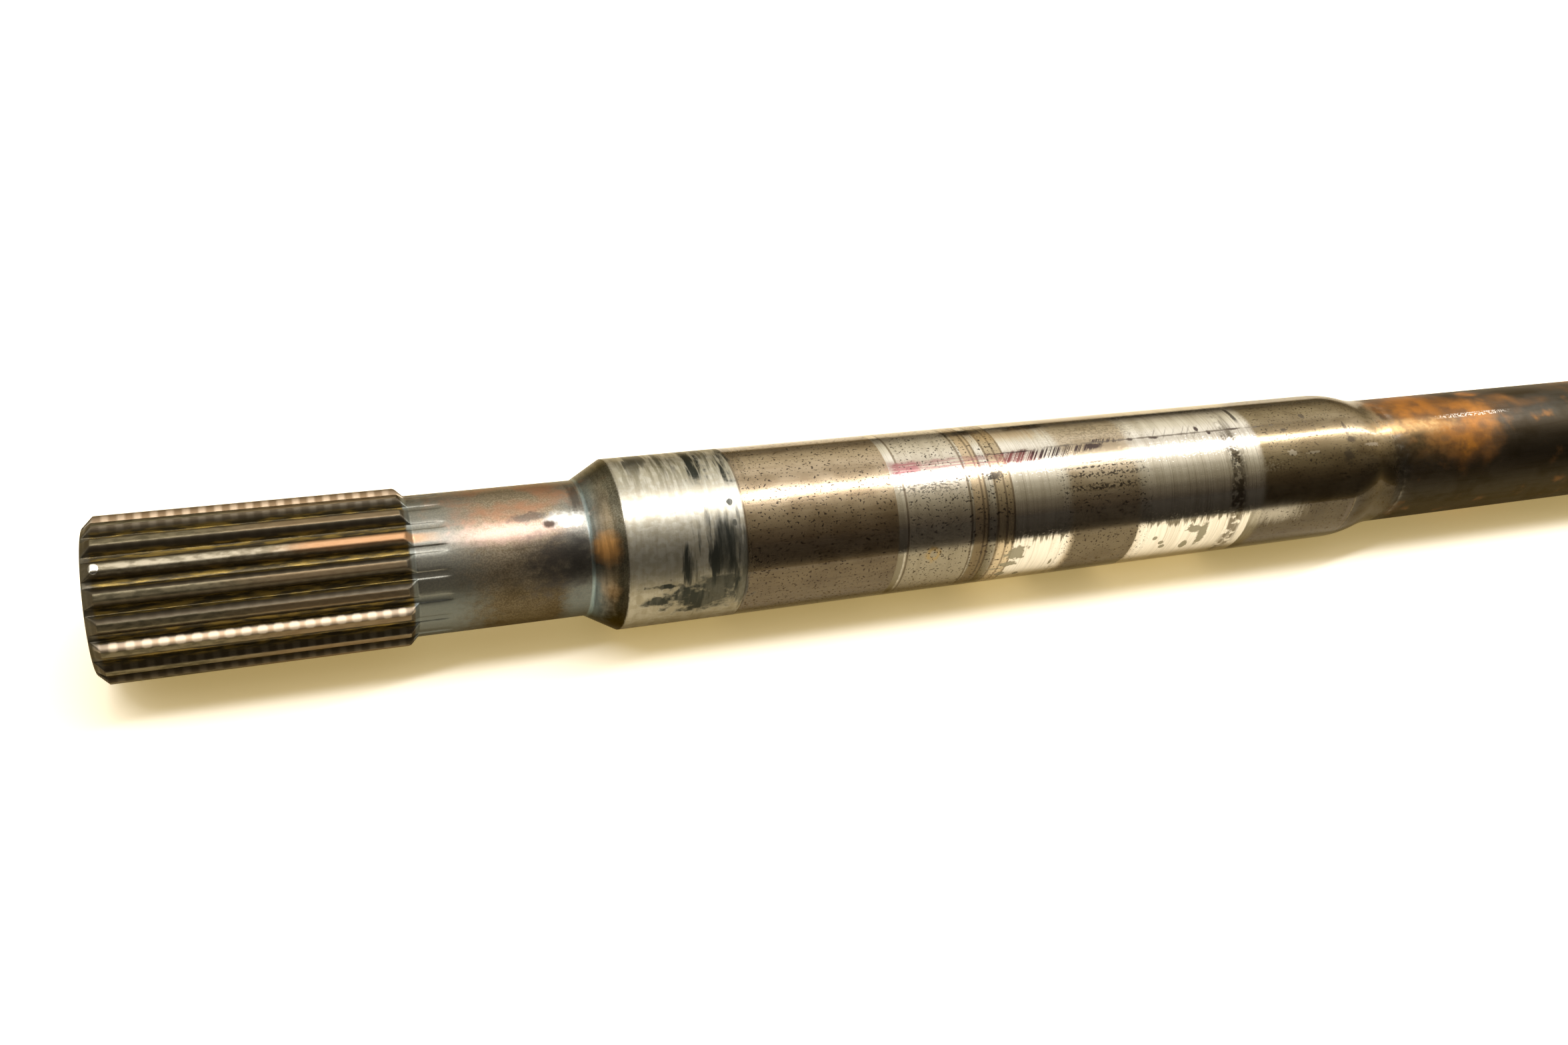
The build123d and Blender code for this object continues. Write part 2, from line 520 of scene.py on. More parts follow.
# Rings of brown film between the polished ones, in millimetres from the splined
# end: start, end, softness of the edges, colour, roughness and wetness
front = -1.0
spline_foot = 72.4
cone_foot = 114.9
bright_from = 122.9
bright_to = 154.1
film_to = 196.8
step_from = 351.0
tail_from = 372.0
far_end = 502.0
film_rings = [
    (front, spline_foot, 0.3, (0.165, 0.145, 0.095), 0.48, 0.0),
    (spline_foot, cone_foot, 0.3, (0.285, 0.235, 0.160), 0.43, 0.0),
    (cone_foot, bright_from, 0.4, (0.138, 0.125, 0.086), 0.32, 0.0),
    (bright_from, bright_to, 0.2, (0.47, 0.445, 0.365), 0.38, 0.0),
    (bright_to, film_to, 0.15, (0.35, 0.275, 0.18), 0.23, 0.42),
    (199.3, 218.6, 0.2, (0.52, 0.47, 0.38), 0.22, 0.2),
    (219.6, 223.8, 0.3, (0.47, 0.37, 0.24), 0.23, 0.2),
    (226.4, 232.1, 0.3, (0.42, 0.34, 0.22), 0.23, 0.2),
    (250.0, 272.9, 1.6, (0.42, 0.35, 0.25), 0.20, 0.3),
    (316.0, 356.0, 1.4, (0.215, 0.168, 0.095), 0.20, 0.40),
    (352.0, tail_from, 4.0, (0.21, 0.165, 0.100), 0.25, 0.15),
    (371.0, far_end, 2.6, (0.097, 0.078, 0.057), 0.44, 0.0),
]
for start, end, soft, colour, rough, wet in film_rings:
    lay(ring(start, end, soft), colour=colour, rough=rough, wet=wet)

# Thin lines that the seals' lips wore into it
for line in (bright_to, 199.6, 218.7, 222.4, 223.7, 226.8, 229.6, 231.9):
    lay(both(ring(line - 0.3, line + 0.3, 0.15), 0.75), colour=(0.16, 0.12, 0.075))

# The film is uneven, more so on the neck and past the polished rings, and the
# underside is darkened with painted shade
filmed = strongest(tree, [
    ring(front, 123, 0.5),
    ring(bright_to, film_to, 0.5),
    ring(250, 273, 2.0),
    ring(316, far_end, 2.0),
])
shade(both(filmed, rise(tree, clouds, 0.42, 0.64)), (0.78, 0.75, 0.70))
shade(both(filmed, rise(tree, streaks, 0.48, 0.66)), (0.88, 0.86, 0.83))
shade(less(rise(tree, wipes, 0.46, 0.62), filmed), (0.90, 0.89, 0.87))
frost = grain(tree, skin, (2.2, 2.6, 2.6), detail=3.0, seed=47.0)
shade(both(ring(72, 123, 0.5), rise(tree, frost, 0.38, 0.60)), (0.66, 0.65, 0.63))
# Painted shade: each ring is darker on its underside, except where the steel is wiped bare
underside = both(rise(tree, around, -14, -34), rise(tree, around, -165, -140))
torn_top = maths(tree, "MULTIPLY_ADD", maths(tree, "SUBTRACT", drips, 0.5), 26, around)
bare_below = both(
    rise(tree, torn_top, -29, -33),
    strongest(tree, [ring(227, 251, 1.5), ring(272.9, 312, 0.3)]),
)
painted_underside_shade = less(underside, bare_below)
for start, end, colour in (
    (front, cone_foot, (0.36, 0.34, 0.29)),
    (cone_foot, bright_from, (0.18, 0.165, 0.14)),
    (bright_from, bright_to, (0.55, 0.53, 0.48)),
    (bright_to, 198.8, (0.23, 0.215, 0.172)),
    (198.8, 219.0, (0.34, 0.325, 0.275)),
    (219.0, step_from, (0.23, 0.215, 0.172)),
    (step_from, tail_from, (0.20, 0.205, 0.22)),
    (tail_from, far_end, (0.60, 0.66, 0.72)),
):
    shade(both(painted_underside_shade, ring(start, end, 0.4)), colour)
shade(both(painted_underside_shade, ring(-9, 84, 9.0)), (0.56, 0.54, 0.50))

# Painted shade: the plain end and the step are darker in front and across the plain
# end's upper side, and at the far rim, which is also duller
painted_tail_front_shade = both(rise(tree, around, 34, 6), rise(tree, around, -150, -110))
shade(both(ring(tail_from, far_end, 5.0), painted_tail_front_shade), (0.54, 0.53, 0.51))
shade(both(ring(414, 560, 9.0), mark(480, 90, 10, 30, 4, 0.3, 0.4)), (0.62, 0.62, 0.60))
far_rim_painted_shade_and_dull = both(ring(318, far_end, 6.0), rise(tree, around, 70, 79))
shade(mark(361, 10, -17, 15, 2.5, 0.8, 0.6), (0.50, 0.50, 0.50))
shade(mark(360, 9, 10, 8, 2.5, 0.8, 0.6), (0.70, 0.66, 0.58))
shade(mark(455, 45, 40, 18, 3, 0.4, 0.6), (0.62, 0.70, 0.78))
shade(far_rim_painted_shade_and_dull, (0.54, 0.52, 0.46))
lay(strongest(tree, [far_rim_painted_shade_and_dull, ring(370, far_end, 3.0)]), wet=0.0)

# Neck: the blue and copper tints of heat, a burnt patch under the cone, and two
# lighter patches on the highlight that are painted highlights
lay(both(mark(72, 14, 0, 200, 4, 0.9, 0.5), 0.6), colour=(0.150, 0.166, 0.150))
lay(both(mark(113, 5, 0, 200, 4, 0.9, 0.5), 0.4), colour=(0.16, 0.20, 0.20), rough=0.28)
copper = both(mark(97, 15, 53, 24, 2.5, 1.6, 0.6), rise(tree, clouds, 0.36, 0.56))
lay(both(copper, 0.7), colour=(0.36, 0.185, 0.105))
lay(both(mark(96, 12, 18, 8, 2, 1.4, 0.7), 0.5), colour=(0.50, 0.33, 0.26))
burnt = both(mark(108.0, 8.5, -10, 24, 2.5, 1.8, 0.7), rise(tree, clouds, 0.30, 0.50))
lay(both(burnt, 0.85), colour=(0.055, 0.05, 0.045))
lay(both(mark(113.0, 1.6, 48, 16, 2.5, 2.0, 0.6, drips), 0.8), colour=(0.06, 0.05, 0.04))
lay(both(mark(109.0, 4.5, 25, 6, 2, 2.6, 0.5), 0.8), colour=(0.50, 0.49, 0.43))
lay(both(mark(100.5, 4.0, 30, 4, 2, 3.0, 0.5), 0.7), colour=(0.07, 0.06, 0.05))
lay(both(mark(105.2, 1.7, 22, 3.2, 2, 1.2, 0.5, drips), 0.9), colour=(0.06, 0.04, 0.03), rough=0.6)

# Cone: a painted reflection as a pale line at its foot, and a painted orange
# reflection in front
lay(both(ring(114.5, 115.3, 0.25), 0.4), colour=(0.24, 0.32, 0.32))
lay(both(mark(118.2, 2.4, -3, 9, 2, 0.7, 0.8), 0.9), colour=(0.95, 0.48, 0.15))
lay(both(mark(118.4, 1.8, 0, 40, 2, 1.4, 0.9), 0.25), colour=(0.42, 0.28, 0.14))
lay(both(mark(118.8, 1.6, -36, 6, 2, 0.9, 0.9), 0.1), colour=(0.50, 0.29, 0.12))
shade(both(ring(cone_foot, bright_from, 0.4), rise(tree, drips, 0.42, 0.62)), (0.74, 0.74, 0.74))

# Black smears of burnt oil, drawn out round the shaft
smear_lines = rise(tree, wipes, 0.42, 0.54)
shade(both(mark(138.5, 17, 60, 24, 5, 1.4, 0.7), rise(tree, drips, 0.38, 0.60)), (0.55, 0.54, 0.48))
shade(both(ring(bright_from, bright_to, 0.2), rise(tree, blots, 0.40, 0.60)), (0.84, 0.82, 0.77))
smears = strongest(tree, [
    both(mark(129.0, 5.0, 66, 9, 3, 1.8, 0.8, drips), both(smear_lines, 0.8)),
    both(mark(139.0, 15, 66, 16, 4, 2.0, 0.6, drips), both(rise(tree, wipes, 0.48, 0.58), 0.6)),
    both(mark(136.5, 5.0, 68, 10, 3, 1.2, 0.5), both(smear_lines, 0.6)),
    both(mark(144, 2.6, 56, 18, 3, 1.4, 0.4), smear_lines),
    both(mark(151.5, 3.0, 56, 20, 3, 1.4, 0.4), smear_lines),
    both(mark(133, 9, -16, 16, 2.5, 1.4, 0.8, drips), 0.35),
    mark(148.6, 3.6, -12, 21, 3, 1.1, 0.4, drips),
    mark(147.0, 6.5, -34, 5.5, 2.5, 1.4, 0.4),
    both(mark(143.5, 3.2, -40, 4.5, 2.5, 1.8, 0.5), 0.8),
    both(mark(147.0, 6.4, -22, 26, 3, 2.2, 0.6, drips), smear_lines),
    mark(143.0, 9.0, -45, 12, 2.5, 2.2, 0.4),
    both(mark(137.8, 1.3, -20, 14, 3, 2.4, 0.5, drips), smear_lines),
    mark(130.5, 3.8, -45, 3.8, 2, 2.2, 0.4),
    mark(132.5, 5.0, -33, 1.6, 2, 3.2, 0.4),
    mark(150.7, 0.8, 19, 2.4, 2, 1.6, 0.3),
    mark(151.1, 0.7, 5, 2, 2, 1.6, 0.3),
    both(mark(153.0, 1.2, -25, 30, 4, 3.0, 0.4, drips), 0.8),
    both(mark(141.0, 8.0, 152, 34, 3, 0.8, 0.8), both(smear_lines, 0.8)),
    both(mark(148.0, 4.0, -150, 20, 3, 1.4, 0.6, drips), smear_lines),
    both(mark(131.0, 4.4, 116, 8, 2, 1.8, 0.8, drips), both(smear_lines, 0.8)),
])
smear_depth = mixed(tree, rise(tree, wipes, 0.36, 0.60), 0.82, 0.98)
lay(both(smears, smear_depth), colour=(0.024, 0.026, 0.021), rough=0.5)

# A black speckled spot, dark strokes under the highlight, and a mottled ring
lay(both(mark(227.5, 2.2, 18.5, 3.2, 2, 3.0, 0.4, specks), 0.9), colour=(0.03, 0.025, 0.02))
dark_strokes = strongest(tree, [
    mark(244, 7.2, 63.5, 3.4, 4, 1.4, 0.4),
    both(mark(282, 34, 64.5, 2.6, 6, 1.6, 0.8), 0.75),
    mark(224, 5, 63, 3.6, 3, 1.8, 0.5),
    mark(313, 0.6, 54, 9, 4, 1.0, 0.4),
])
lay(both(dark_strokes, 0.85), colour=(0.05, 0.045, 0.045))
lay(both(mark(235.0, 11.0, 56, 7, 3, 1.8, 0.7, drips), 0.45), colour=(0.50, 0.33, 0.15))
mottled_ring = both(mark(307, 2.4, -15, 60, 4, 1.6, 0.5, drips), rise(tree, blots, 0.36, 0.52))
lay(both(mottled_ring, 0.9), colour=(0.10, 0.08, 0.05))
lay(both(mark(321, 8.0, -33, 7, 2.5, 1.8, 0.9, drips), 0.45), colour=(0.50, 0.46, 0.37))

# Islands of grey film that the wiping left on the bare underside
islands = strongest(tree, [
    mark(233.6, 3.4, -41, 5.5, 2, 2.2, 0.15),
    mark(232.6, 2.5, -52.5, 3.0, 2, 1.6, 0.15),
    mark(229.0, 3.0, -56.5, 0.9, 2, 1.6, 0.3),
    mark(231.7, 1.5, -65, 3.2, 2, 1.6, 0.15),
    mark(237.3, 0.9, -68, 2.4, 2, 1.2, 0.15),
    mark(246.6, 0.5, -56, 3.6, 2, 1.6, 0.2),
    mark(280.1, 0.8, -44.5, 2.0, 2, 0.6, 0.15),
    mark(283.0, 0.9, -50, 2.0, 2, 0.8, 0.15),
    mark(284.0, 1.0, -55, 2.2, 2, 0.8, 0.15),
    mark(291.8, 1.3, -56, 4.6, 2, 0.9, 0.15),
    mark(292.6, 3.0, -39, 3.4, 2, 2.8, 0.2),
    mark(296.6, 1.4, -46, 10, 3, 1.8, 0.2),
])
lay(both(islands, 0.9), colour=(0.17, 0.155, 0.105), rough=0.3)
ring_stain = less(mark(207.4, 2.1, -33, 5.4, 2, 2.2, 0.4), mark(207.6, 1.1, -33.5, 2.8, 2, 1.4, 0.4))
lay(both(ring_stain, 0.8), colour=(0.22, 0.15, 0.055))

# Scratches: a slanting hatch above the front, and fine ticks further along
slant = maths(tree, "MULTIPLY_ADD", around, -0.30, along)
hatch = lines_across(slant, 1.0)
hatch_lines = rise(tree, hatch, 0.47, 0.53)
scrapes = grain(tree, skin, (0.10, 2.4, 2.4), detail=3.0, seed=37.0)
scrape_lines = rise(tree, scrapes, 0.40, 0.56)
red_scrape = both(mark(201.6, 4.4, 31, 5.2, 4, 1.2, 0.4), mixed(tree, scrape_lines, 0.45, 0.95))
lay(red_scrape, colour=(0.35, 0.155, 0.155))
lay(both(both(mark(219, 16, 31, 4.6, 4, 1.6, 0.5), scrape_lines), 0.6), colour=(0.30, 0.13, 0.13))
red_hatch = both(mark(237.0, 7.0, 31.0, 5.0, 3, 1.2, 0.4), mixed(tree, hatch_lines, 0.25, 0.9))
lay(red_hatch, colour=(0.17, 0.04, 0.04))
hatched = strongest(tree, [
    both(mark(234.0, 7.0, 35.5, 0.7, 4, 2.0, 0.5), scrape_lines),
    both(mark(247.0, 7.0, 32.0, 4.6, 3, 1.2, 0.4), hatch_lines),
    both(mark(257.0, 6.0, 33.5, 3.0, 3, 1.4, 0.4), hatch_lines),
    mark(261.5, 2.6, 34.2, 2.2, 2, 2.0, 0.4),
    mark(260.0, 1.0, 33.0, 1.2, 2, 2.0, 0.4),
    both(mark(265.5, 4.0, 37.5, 2.2, 3, 2.2, 0.4), hatch_lines),
    mark(273.9, 1.0, 36.8, 1.3, 2, 2.0, 0.4),
    mark(282.0, 1.8, 36.2, 1.0, 2, 2.0, 0.4),
    mark(301.0, 0.6, 36.0, 2.0, 2, 2.0, 0.4),
    mark(297.6, 0.6, 40.0, 2.4, 2, 2.0, 0.4),
    mark(309.5, 2.4, 37.2, 0.9, 2, 2.0, 0.4),
    both(both(mark(289, 14, 40, 4.4, 3, 2.6, 0.7), rise(tree, hatch, 0.60, 0.68)), 0.4),
])
lay(both(hatched, 0.92), colour=(0.045, 0.028, 0.028))
lay(both(mark(283, 34, 37.0, 0.7, 6, 3.0, 0.6), 0.8), colour=(0.14, 0.115, 0.09))

# Pits and specks, thickest where the film is, and in rows where grit was rolled in
pits = rise(tree, specks, 0.595, 0.65)
pitted = strongest(tree, [
    ring(bright_to + 0.4, film_to - 0.3, 1.0),
    ring(200, 232, 1.0),
    both(ring(247, 276, 3.0), rise(tree, around, 22, 14)),
    both(ring(316, tail_from, 4.0), 0.8),
])
grit = rise(tree, grain(tree, skin, (1.1, 1.6, 1.6), detail=2.0, seed=41.0), 0.50, 0.55)
rows_of_grit = strongest(tree, [
    mark(261.5, 12.5, 11.3, 1.5, 5, 0.8, 0.4),
    mark(262.0, 12.0, 17.2, 0.8, 5, 0.8, 0.4),
    mark(262.0, 11.0, 2.2, 2.0, 5, 1.6, 0.5),
    both(mark(262.0, 9.0, 21.0, 0.6, 5, 0.8, 0.4), 0.8),
    both(mark(207.0, 9.0, 14.5, 3.4, 4, 1.6, 0.5), 0.7),
    both(mark(307.0, 1.8, 10.0, 9.0, 3, 1.6, 0.5), 0.9),
    both(mark(262.0, 14.0, 48.0, 9.0, 3, 2.2, 0.8), 0.35),
    mark(250.0, 22.0, 128.0, 1.8, 5, 1.2, 0.5),
    mark(215.0, 14.0, 161.0, 3.0, 4, 1.6, 0.5),
    mark(288.0, 16.0, -158.0, 4.0, 3, 2.2, 0.8),
])
pitting = strongest(tree, [both(pits, pitted), both(grit, rows_of_grit)])
lay(both(pitting, 0.85), colour=(0.022, 0.015, 0.011), wet=0.0)

# Stains, nicks and scuffs ahead of the soft step
stains = strongest(tree, [
    mark(336.6, 0.8, 43.5, 2.6, 2, 1.6, 0.4),
    mark(327.0, 0.8, 31.5, 1.6, 2, 1.6, 0.4),
    mark(349.4, 0.7, 27.0, 5.5, 2, 2.6, 0.5),
    mark(350.2, 1.6, 18.0, 2.4, 2, 2.6, 0.5),
    mark(347.6, 1.6, 5.0, 6.0, 2, 2.6, 0.6),
    mark(349.8, 0.7, -42.0, 12.0, 3, 1.6, 0.5),
    mark(331.0, 2.0, 140.0, 5.0, 2, 2.6, 0.4),
    mark(184.0, 1.4, 132.0, 7.0, 2, 2.6, 0.4),
    mark(172.0, 3.0, -148.0, 4.0, 2, 2.6, 0.5),
    mark(101.0, 3.0, 140.0, 9.0, 2, 2.6, 0.5),
])
lay(both(stains, 0.8), colour=(0.06, 0.045, 0.03))
scuffs = strongest(tree, [
    mark(327.4, 1.6, 11.8, 2.2, 2, 2.4, 0.3, specks),
    both(mark(335.0, 2.4, 10.4, 1.0, 2, 2.4, 0.3, specks), 0.7),
    both(mark(309.0, 9.0, 3.0, 3.0, 3, 5.0, 0.3, specks), 0.6),
    both(mark(358.0, 3.0, 12.5, 1.4, 2, 2.4, 0.3, specks), 0.5),
])
lay(both(scuffs, 0.45), colour=(0.55, 0.50, 0.42))

# Dark ring past the soft step, then rust on the plain end
dark_ring = strongest(tree, [
    both(ring(369.0, 371.8, 1.0), 0.55),
    mark(369.4, 1.8, 47, 10, 2.5, 1.2, 0.5),
    both(mark(370.2, 0.8, 27, 14, 2.5, 1.2, 0.5), 0.8),
    mark(371.5, 3.0, 0, 17, 2.5, 2.0, 0.7),
])
lay(both(dark_ring, 0.9), colour=(0.035, 0.033, 0.028), rough=0.36, wet=0.0)
lay(both(mark(382, 11, 14, 18, 3, 1.6, 0.8), 0.75), colour=(0.105, 0.066, 0.027))
rust_edge = grain(tree, skin, (0.10, 0.12, 0.12), detail=6.0, seed=23.0)
rust_depth = grain(tree, skin, (0.13, 0.16, 0.16), detail=5.0, seed=29.0)
rust = strongest(tree, [
    mark(384, 12.5, 58, 26, 3, 2.0, 0.8, rust_edge),
    both(mark(398, 16, 46, 14, 2.5, 2.4, 0.9, rust_edge), 0.85),
    both(mark(397, 11, 12, 18, 2, 2.4, 0.9, rust_edge), 0.85),
    both(mark(411, 4.5, 66, 7, 2, 2.0, 0.6, rust_edge), 0.9),
    both(mark(432, 7, 44, 5, 2, 2.4, 0.8, rust_edge), 0.15),
    both(mark(388, 13, 138, 34, 3, 2.2, 0.8, rust_edge), 0.9),
    both(mark(424, 17, -142, 26, 2.5, 2.4, 0.9, rust_edge), 0.8),
    both(mark(470, 16, 108, 40, 2.5, 2.4, 0.9, rust_edge), 0.8),
    both(mark(487, 10, -78, 26, 2.5, 2.6, 0.9, rust_edge), 0.8),
    both(both(ring(tail_from, far_end, 4), rise(tree, rust_edge, 0.56, 0.78)), 0.4),
])
deep_rust = (0.155, 0.057, 0.006, 1)
bright_rust = (0.42, 0.150, 0.006, 1)
rust_colour = mixed(tree, rise(tree, rust_depth, 0.30, 0.64), deep_rust, bright_rust)
lay(both(rust, 0.9), colour=rust_colour, metal=0.5, rough=0.48)
shade(mark(389, 14, 58, 24, 3, 1.0, 0.6), (0.68, 0.66, 0.62))
# A painted highlight along the rust at the highlight's height, broken into lumps
rust_lumps = mixed(tree, rise(tree, blots, 0.62, 0.40), 0.5, 1.0)
painted_highlight_on_rust = both(mark(377, 13, 27.5, 6.5, 2.5, 1.0, 0.8), rust_lumps)
lay(both(painted_highlight_on_rust, 0.85), colour=(0.38, 0.235, 0.095), metal=0.8)
dark_dots = both(mark(385, 13, 8, 14, 3, 1.8, 0.8), rise(tree, rust_depth, 0.42, 0.60))
lay(both(dark_dots, 0.8), colour=(0.024, 0.018, 0.010))
rubbed_through = both(mark(404, 14, 34.5, 2.3, 3, 1.6, 0.4, specks), rise(tree, specks, 0.50, 0.56))
lay(both(rubbed_through, 0.85), colour=(0.66, 0.60, 0.50), metal=1.0, rough=0.2)

# Spline: old oil in the spaces, copper on the crests, and painted shade in the hob's
# feed marks. A band on the lower teeth, the crest that faces the light, the top edge and
# a spot at the near end carry painted highlights.
from_last_cut = maths(tree, "SUBTRACT", along, last_cut / mm)
feed_wave = maths(tree, "COSINE", maths(tree, "MULTIPLY", from_last_cut, 2 * pi * mm / hob_feed))
feed_marks = rise(tree, feed_wave, -0.9, 0.6)
on_spline = ring(1.0, 71.0, 0.4)
towards_far_end = ring(34, 74, 12.0)
crest_height = tip_radius / mm
crests = both(rise(tree, radius, crest_height - 0.14, crest_height - 0.04), on_spline)
flanks = less(on_spline, crests)
lay(both(flanks, 0.92), colour=(0.070, 0.055, 0.035))
# Painted shade in the hollows of the feed marks on the flanks, strongest towards the top and bottom
painted_feed_shade_angles = strongest(tree, [rise(tree, around, 48, 62), rise(tree, around, -42, -54)])
shade(both(both(flanks, feed_marks), mixed(tree, painted_feed_shade_angles, 0.25, 0.85)), (0.48, 0.44, 0.38))
# Old oil in the spaces, with painted shade: darker the deeper into the space
oily_and_shaded_spaces = both(rise(tree, radius, crest_height - 0.9, crest_height - 1.8), on_spline)
oil_streaks = grain(tree, skin, (0.20, 1.3, 1.3), detail=4.0, seed=31.0)
thick_oil = (0.026, 0.019, 0.007, 1)
thin_oil = (0.150, 0.098, 0.018, 1)
oil_colour = mixed(tree, rise(tree, oil_streaks, 0.40, 0.66), thick_oil, thin_oil)
lay(both(oily_and_shaded_spaces, 0.94), colour=oil_colour, metal=0.6, rough=0.28)
crest_spots = rise(tree, grain(tree, skin, (0.4, 1.0, 1.0), detail=4.0, seed=43.0), 0.34, 0.62)
crest_colour = mixed(tree, crest_spots, (0.072, 0.060, 0.034, 1), (0.140, 0.116, 0.068, 1))
lay(both(crests, 0.9), colour=crest_colour)
lay(both(both(crests, towards_far_end), 0.6), colour=(0.17, 0.112, 0.058))
# A painted highlight: the crest that faces the light gets a lighter colour, coppery towards its far
# end
painted_highlight_crest = mixed(tree, crest_spots, (0.13, 0.11, 0.07, 1), (0.26, 0.225, 0.155, 1))
lay(both(mark(33, 34, 22, 3.8, 6, 0.6, 0.4), 0.85), colour=painted_highlight_crest)
lay(both(mark(60, 15, 22, 3.8, 4, 0.8, 0.4, clouds), 0.85), colour=(0.29, 0.155, 0.070))
# A painted sheen along the top edge, broken into dots by painted shade in the feed marks
lay(both(mark(36.5, 36, 75.5, 6.0, 8, 0.4, 0.3), 0.8), colour=(0.33, 0.245, 0.155))
shade(both(mark(36.5, 36, 72, 10, 8, 0.4, 0.3), feed_marks), (0.46, 0.41, 0.34))
# A painted highlight in a band along the lower teeth, beaded by the feed marks
painted_highlight_beads = both(mark(36.5, 34.5, -34.0, 1.75, 8, 0.24, 0.4, feed_marks), on_spline)
lay(both(painted_highlight_beads, 0.94), colour=(0.60, 0.48, 0.33), metal=0.45, rough=0.42)
shade(both(painted_highlight_beads, rise(tree, feed_wave, -0.2, 1.0)), (0.68, 0.60, 0.52))
# Painted glint: a light, smooth spot where a crest meets the chamfer at the near end
lay(mark(3.0, 1.0, 21.5, 3.4, 2, 0.2, 0.2), colour=(0.85, 0.83, 0.78), rough=0.12)
lay(both(ring(-1, 2.2, 0.5), 0.8), colour=(0.055, 0.047, 0.032))

# End faces: turned to the centre hole, with fine rings, and dulled by old grease
both_ends = strongest(tree, [ring(-3, 0.12, 0.1), ring(499.95, 503, 0.1)])
end_faces = both(both_ends, rise(tree, radius, 3.9, 4.3))
turned_lines = rise(tree, lines_across(radius, 2.6), 0.36, 0.64)
turned_colour = mixed(tree, turned_lines, (0.17, 0.148, 0.113, 1), (0.29, 0.26, 0.21, 1))
lay(end_faces, colour=turned_colour, rough=0.36, metal=1.0, wet=0.0)
shade(both(end_faces, rise(tree, clouds, 0.30, 0.68)), (0.48, 0.43, 0.35))
rusted_face = both(both(end_faces, ring(490, 505, 1.0)), rise(tree, rust_depth, 0.44, 0.66))
lay(both(rusted_face, 0.65), colour=(0.20, 0.085, 0.022))

# Relief: the grinding lines stand up a little, rust lies on top, and pits go in
scratch_bump = tree.nodes.new("ShaderNodeBump")
scratch_bump.inputs["Distance"].default_value = 0.012 * mm
rust_relief = maths(tree, "MULTIPLY", rust, 6)
pit_depth = maths(tree, "MULTIPLY", pits, 0.4)
raised = maths(tree, "MULTIPLY_ADD", rust_depth, rust_relief, ring_lines)
feed(tree, scratch_bump.inputs["Height"], maths(tree, "SUBTRACT", raised, pit_depth))
feed(tree, steel_shader.inputs["Normal"], scratch_bump.outputs["Normal"])

for name, value in finish.items():
    feed(tree, steel_shader.inputs[name], value)
mesh.materials.append(steel)

# The floor: pale and plain, just under the body. It gives off a warm light near the
# shaft and a white one further off, as a brightly lit surface does.


def flat_sheet(name, corners, material):
    """A flat object between four corners, to stand around the shaft."""
    sheet_mesh = bpy.data.meshes.new(name)
    sheet_mesh.from_pydata(corners, [], [(0, 1, 2, 3)])
    sheet_mesh.materials.append(material)
    sheet = bpy.data.objects.new(name, sheet_mesh)
    bpy.context.scene.collection.objects.link(sheet)
    return sheet


floor_size = 4.0
floor_height = -body_radius
shaft_middle = (0.25, 0, 0)
pale = bpy.data.materials.new("pale floor")
pale.use_nodes = True
pale_tree = pale.node_tree
pale_shader = pale_tree.nodes["Principled BSDF"]
pale_shader.inputs["Base Color"].default_value = (0.87, 0.83, 0.71, 1)
pale_shader.inputs["Roughness"].default_value = 0.7
from_middle = pale_tree.nodes.new("ShaderNodeVectorMath")
from_middle.operation = "DISTANCE"
from_middle.inputs[1].default_value = shaft_middle
floor_point = pale_tree.nodes.new("ShaderNodeTexCoord").outputs["Object"]
feed(pale_tree, from_middle.inputs[0], floor_point)
far_off = rise(pale_tree, from_middle.outputs["Value"], 0.45, 1.0)
glow = mixed(pale_tree, far_off, (0.34, 0.246, 0.092, 1), (1, 1, 1, 1))
feed(pale_tree, pale_shader.inputs["Emission Color"], glow)
pale_shader.inputs["Emission Strength"].default_value = 1.0
floor_corners = [
    (-floor_size, -floor_size, floor_height),
    (floor_size, -floor_size, floor_height),
    (floor_size, floor_size, floor_height),
    (-floor_size, floor_size, floor_height),
]
floor = flat_sheet("floor", floor_corners, pale)

# The light: one long soft strip overhead, set a little askew to the shaft as the
# highlight in the photograph is, and hidden from the camera
strip_place = (3.16, 0.576, 1.1)
strip_turn = radians(11.6)
strip = bpy.data.lights.new("overhead strip", "AREA")
strip.shape = "RECTANGLE"
strip.size = 7.6
strip.size_y = 0.11
strip.energy = 63
strip.color = (0.97, 0.98, 1.08)
overhead = bpy.data.objects.new("overhead strip", strip)
overhead.location = strip_place
overhead.rotation_euler = (0, 0, strip_turn)
overhead.visible_camera = False
bpy.context.scene.collection.objects.link(overhead)

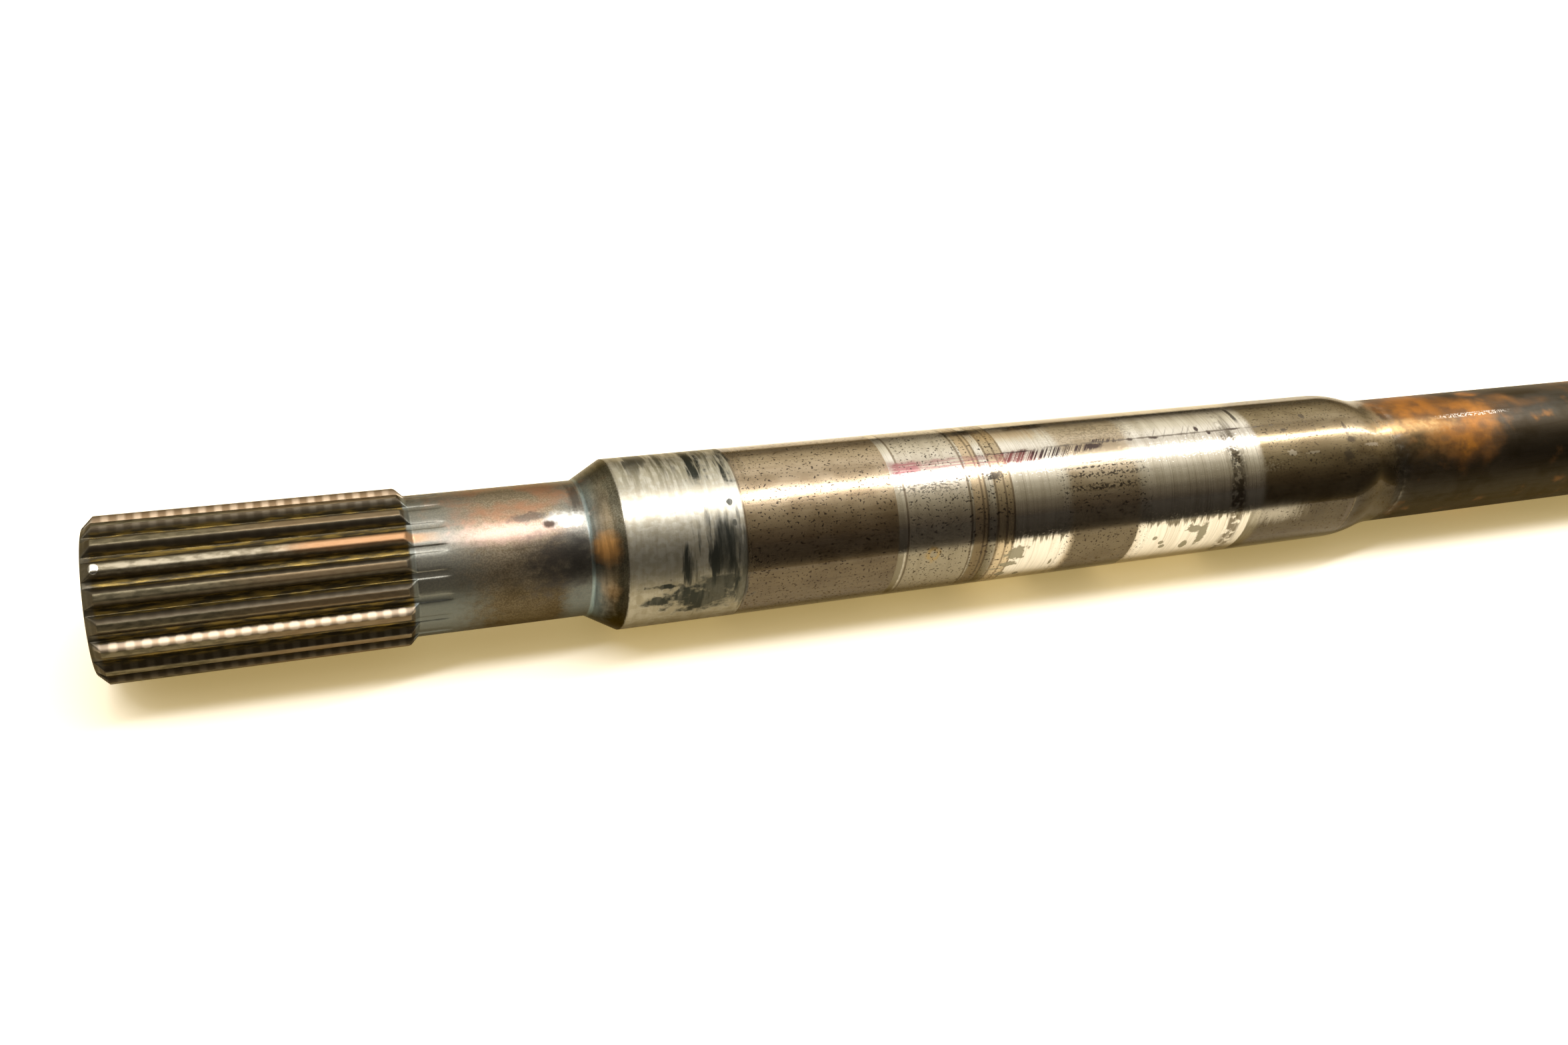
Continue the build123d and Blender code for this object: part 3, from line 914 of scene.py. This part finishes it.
# Two dark cards along the shaft, one in front and one behind, out of the camera's
# sight. They show only as the dark lines that they draw along the steel.
card_left = -2.5
card_right = 3.5
card_black = bpy.data.materials.new("card black")
card_black.use_nodes = True
card_shader = card_black.node_tree.nodes["Principled BSDF"]
card_shader.inputs["Base Color"].default_value = (0.02, 0.017, 0.014, 1)
card_shader.inputs["Roughness"].default_value = 1.0
for name, distance, top in (("front_card", -0.15, 0.07), ("back_card", 0.32, 0.02)):
    card_corners = [
        (card_left, distance, floor_height),
        (card_right, distance, floor_height),
        (card_right, distance, top),
        (card_left, distance, top),
    ]
    card = flat_sheet(name, card_corners, card_black)
    card.visible_camera = False
    card.visible_diffuse = False
    card.visible_shadow = False

# The room around: nearly dark in front, brighter overhead and behind, as the steel
# mirrors it, and plain white where it is seen directly. Each shade has its place on
# the half turn from the front horizon (0) over the top to the back horizon (1).
room_shades = [
    (0.00, (0.050, 0.040, 0.030)),
    (0.13, (0.070, 0.056, 0.042)),
    (0.22, (0.15, 0.125, 0.09)),
    (0.30, (0.34, 0.30, 0.22)),
    (0.38, (0.62, 0.57, 0.45)),
    (0.45, (1.30, 1.22, 1.05)),
    (0.53, (2.20, 2.12, 1.98)),
    (0.61, (1.55, 1.48, 1.38)),
    (0.66, (1.15, 1.09, 1.00)),
    (0.73, (1.65, 1.60, 1.50)),
    (0.82, (1.32, 1.25, 1.06)),
    (0.91, (0.86, 0.79, 0.62)),
    (0.945, (0.36, 0.32, 0.26)),
    (1.00, (0.30, 0.27, 0.21)),
]
room = bpy.data.worlds.new("room")
room.use_nodes = True
room_tree = room.node_tree
direction = room_tree.nodes.new("ShaderNodeTexCoord").outputs["Generated"]
split = room_tree.nodes.new("ShaderNodeSeparateXYZ")
feed(room_tree, split.inputs[0], direction)
above = maths(room_tree, "MAXIMUM", split.outputs["Z"], 0)
towards_front = maths(room_tree, "MULTIPLY", split.outputs["Y"], -1)
turn = maths(room_tree, "ARCTAN2", above, towards_front)
shades = room_tree.nodes.new("ShaderNodeValToRGB")
shades.color_ramp.interpolation = "EASE"
ramp = shades.color_ramp.elements
while len(ramp) < len(room_shades):
    ramp.new(0.5)
for stop, (position, colour) in zip(ramp, room_shades):
    stop.position = position
    stop.color = (*colour, 1)
feed(room_tree, shades.inputs[0], maths(room_tree, "DIVIDE", turn, pi))
seen_directly = room_tree.nodes.new("ShaderNodeLightPath").outputs["Is Camera Ray"]
room_colour = mixed(room_tree, seen_directly, shades.outputs[0], (1, 1, 1, 1))
feed(room_tree, room_tree.nodes["Background"].inputs["Color"], room_colour)
bpy.context.scene.world = room
bpy.context.scene.view_settings.view_transform = "Standard"
